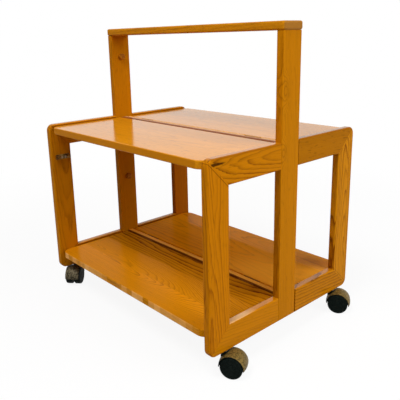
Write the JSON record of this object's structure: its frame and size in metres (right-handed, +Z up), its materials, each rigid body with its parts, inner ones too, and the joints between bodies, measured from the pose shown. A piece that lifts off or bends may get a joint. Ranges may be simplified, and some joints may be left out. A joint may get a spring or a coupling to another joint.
{
  "type": "folding trolley table",
  "caption": "Lacquered pine folding trolley table: hinged leaves on two levels between end frames, a high centre handle rail and hooded casters.",
  "frame": {"origin": "on the floor, under the middle of the table", "axes": "+X along the length towards the near end, +Y from front to rear, +Z up"},
  "size_m": [0.7262, 0.498, 0.73],
  "materials": {
    "pine": "honey lacquered pine, satin",
    "pine_leaf": "honey lacquered pine, satin gloss",
    "beech": "bare beech dowel",
    "brass": "dull brass",
    "steel": "plain steel",
    "hood_bronze": "antique bronze, worn",
    "black_plastic": "moulded"
  },
  "bodies": {
    "frame": {"near_post": "pine", "far_post": "pine", "handle_rail": "pine", "upper_stretcher": "pine", "lower_stretcher": "pine", "near_front_top_rail": "pine", "near_front_stile": "pine", "near_front_bottom_rail": "pine", "near_rear_top_rail": "pine", "near_rear_stile": "pine", "near_rear_bottom_rail": "pine", "far_front_top_rail": "pine", "far_front_stile": "pine", "far_front_bottom_rail": "pine", "far_rear_top_rail": "pine", "far_rear_stile": "pine", "far_rear_bottom_rail": "pine", "post_dowels": "beech", "mitre_dowels": "beech", "leaf_rest_pegs": "beech", "stop_pegs": "pine", "gate_hinge_post_plates": "brass", "gate_hinge_rail_plates": "brass", "gate_hinge_pins": "steel", "catch_bodies": "brass", "catch_rollers": "steel", "caster_sockets": "steel", "leaf_hinge_fixed_plates": "brass", "leaf_hinge_pins": "steel", "fixed_plate_screws": "brass"},
    "upper_front_leaf": {"upper_front_leaf": "pine_leaf", "upper_front_leaf_hinge_plates": "brass", "upper_front_leaf_screws": "brass"},
    "upper_rear_leaf": {"upper_rear_leaf": "pine_leaf", "upper_rear_leaf_hinge_plates": "brass", "upper_rear_leaf_screws": "brass"},
    "lower_front_leaf": {"lower_front_leaf": "pine_leaf", "lower_front_leaf_hinge_plates": "brass", "lower_front_leaf_screws": "brass"},
    "lower_rear_leaf": {"lower_rear_leaf": "pine_leaf", "lower_rear_leaf_hinge_plates": "brass", "lower_rear_leaf_screws": "brass"},
    "near_front_caster": {"near_front_caster_hood": "hood_bronze", "near_front_caster_pins": "steel"},
    "near_front_caster_left_wheel": {"near_front_caster_left_wheel": "black_plastic"},
    "near_front_caster_right_wheel": {"near_front_caster_right_wheel": "black_plastic"},
    "near_rear_caster": {"near_rear_caster_hood": "hood_bronze", "near_rear_caster_pins": "steel"},
    "near_rear_caster_left_wheel": {"near_rear_caster_left_wheel": "black_plastic"},
    "near_rear_caster_right_wheel": {"near_rear_caster_right_wheel": "black_plastic"},
    "far_front_caster": {"far_front_caster_hood": "hood_bronze", "far_front_caster_pins": "steel"},
    "far_front_caster_left_wheel": {"far_front_caster_left_wheel": "black_plastic"},
    "far_front_caster_right_wheel": {"far_front_caster_right_wheel": "black_plastic"},
    "far_rear_caster": {"far_rear_caster_hood": "hood_bronze", "far_rear_caster_pins": "steel"},
    "far_rear_caster_left_wheel": {"far_rear_caster_left_wheel": "black_plastic"},
    "far_rear_caster_right_wheel": {"far_rear_caster_right_wheel": "black_plastic"}
  },
  "joints": [
    {"name": "upper_front_leaf_fold", "type": "hinge", "parent": "frame", "child": "upper_front_leaf", "pos_m": [0, -0.0115, 0.4718], "axis": [-1, 0, 0], "range_deg": [0, 90]},
    {"name": "upper_rear_leaf_fold", "type": "hinge", "parent": "frame", "child": "upper_rear_leaf", "pos_m": [0, 0.0115, 0.4718], "axis": [1, 0, 0], "range_deg": [0, 90]},
    {"name": "lower_front_leaf_fold", "type": "hinge", "parent": "frame", "child": "lower_front_leaf", "pos_m": [0, -0.0115, 0.1098], "axis": [-1, 0, 0], "range_deg": [0, 90]},
    {"name": "lower_rear_leaf_fold", "type": "hinge", "parent": "frame", "child": "lower_rear_leaf", "pos_m": [0, 0.0115, 0.1098], "axis": [1, 0, 0], "range_deg": [0, 90]},
    {"name": "near_front_caster_swivel", "type": "hinge", "parent": "frame", "child": "near_front_caster", "pos_m": [0.312, -0.197, 0.055], "axis": [0, 0, 1], "continuous": true},
    {"name": "near_front_caster_left_wheel_spin", "type": "hinge", "parent": "near_front_caster", "child": "near_front_caster_left_wheel", "pos_m": [0.32885, -0.18823, 0.025], "axis": [-0.4617, 0.887, 0], "continuous": true},
    {"name": "near_front_caster_right_wheel_spin", "type": "hinge", "parent": "near_front_caster", "child": "near_front_caster_right_wheel", "pos_m": [0.32885, -0.18823, 0.025], "axis": [-0.4617, 0.887, 0], "continuous": true},
    {"name": "near_rear_caster_swivel", "type": "hinge", "parent": "frame", "child": "near_rear_caster", "pos_m": [0.312, 0.197, 0.055], "axis": [0, 0, 1], "continuous": true},
    {"name": "near_rear_caster_left_wheel_spin", "type": "hinge", "parent": "near_rear_caster", "child": "near_rear_caster_left_wheel", "pos_m": [0.32885, 0.20577, 0.025], "axis": [-0.4617, 0.887, 0], "continuous": true},
    {"name": "near_rear_caster_right_wheel_spin", "type": "hinge", "parent": "near_rear_caster", "child": "near_rear_caster_right_wheel", "pos_m": [0.32885, 0.20577, 0.025], "axis": [-0.4617, 0.887, 0], "continuous": true},
    {"name": "far_front_caster_swivel", "type": "hinge", "parent": "frame", "child": "far_front_caster", "pos_m": [-0.312, -0.197, 0.055], "axis": [0, 0, 1], "continuous": true},
    {"name": "far_front_caster_left_wheel_spin", "type": "hinge", "parent": "far_front_caster", "child": "far_front_caster_left_wheel", "pos_m": [-0.29941, -0.21123, 0.025], "axis": [0.749, 0.6626, 0], "continuous": true},
    {"name": "far_front_caster_right_wheel_spin", "type": "hinge", "parent": "far_front_caster", "child": "far_front_caster_right_wheel", "pos_m": [-0.29941, -0.21123, 0.025], "axis": [0.749, 0.6626, 0], "continuous": true},
    {"name": "far_rear_caster_swivel", "type": "hinge", "parent": "frame", "child": "far_rear_caster", "pos_m": [-0.312, 0.197, 0.055], "axis": [0, 0, 1], "continuous": true},
    {"name": "far_rear_caster_left_wheel_spin", "type": "hinge", "parent": "far_rear_caster", "child": "far_rear_caster_left_wheel", "pos_m": [-0.32885, 0.18823, 0.025], "axis": [0.4617, -0.887, 0], "continuous": true},
    {"name": "far_rear_caster_right_wheel_spin", "type": "hinge", "parent": "far_rear_caster", "child": "far_rear_caster_right_wheel", "pos_m": [-0.32885, 0.18823, 0.025], "axis": [0.4617, -0.887, 0], "continuous": true}
  ]
}
